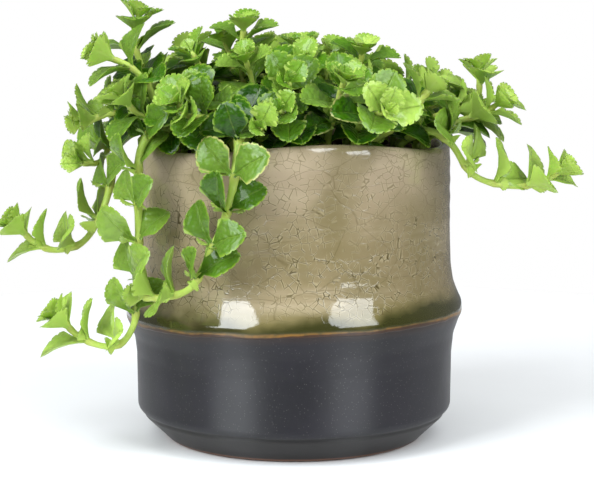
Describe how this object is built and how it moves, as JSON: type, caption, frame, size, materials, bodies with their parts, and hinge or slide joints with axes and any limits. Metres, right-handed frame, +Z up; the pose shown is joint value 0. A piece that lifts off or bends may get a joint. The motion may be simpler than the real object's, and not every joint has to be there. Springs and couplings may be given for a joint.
{
  "type": "potted pilea plant",
  "caption": "Trailing pilea with scalloped fleshy leaves in a round stoneware pot, crackled beige-green glaze above a belt and satin charcoal below.",
  "frame": {"origin": "middle of the pot's flat underside, on the surface that it stands on", "axes": "+Z up; -Y is the pictured front; +X is to the right as seen from the front"},
  "size_m": [0.1988, 0.1422, 0.1523],
  "materials": {
    "stoneware": null,
    "soil": null,
    "foliage": null
  },
  "bodies": {
    "root": {"pot": "stoneware", "soil": "soil", "shoot_01": "foliage", "shoot_02": "foliage", "shoot_03": "foliage", "shoot_04": "foliage", "shoot_05": "foliage", "shoot_06": "foliage", "shoot_07": "foliage", "shoot_08": "foliage", "shoot_09": "foliage", "shoot_10": "foliage", "shoot_11": "foliage", "shoot_12": "foliage", "shoot_13": "foliage", "shoot_14": "foliage", "shoot_15": "foliage", "shoot_16": "foliage", "shoot_17": "foliage", "shoot_18": "foliage", "shoot_19": "foliage", "shoot_20": "foliage", "shoot_21": "foliage", "shoot_22": "foliage", "shoot_23": "foliage", "shoot_24": "foliage", "shoot_25": "foliage", "shoot_27": "foliage", "shoot_28": "foliage", "shoot_29": "foliage", "shoot_30": "foliage", "shoot_31": "foliage", "shoot_32": "foliage", "shoot_33": "foliage", "shoot_34": "foliage", "shoot_bright_front": "foliage", "shoot_drop_left": "foliage", "shoot_far_right": "foliage", "shoot_front_left": "foliage", "shoot_left": "foliage", "shoot_low_left": "foliage", "shoot_out_left": "foliage", "shoot_out_right": "foliage", "shoot_tall_left": "foliage", "shoot_thick_right": "foliage", "shoot_top_fan": "foliage", "shoot_top_middle": "foliage", "shoot_top_right": "foliage", "shoot_trailing_front": "foliage", "shoot_trailing_left": "foliage", "shoot_trailing_low": "foliage", "shoot_trailing_right": "foliage"}
  },
  "joints": []
}
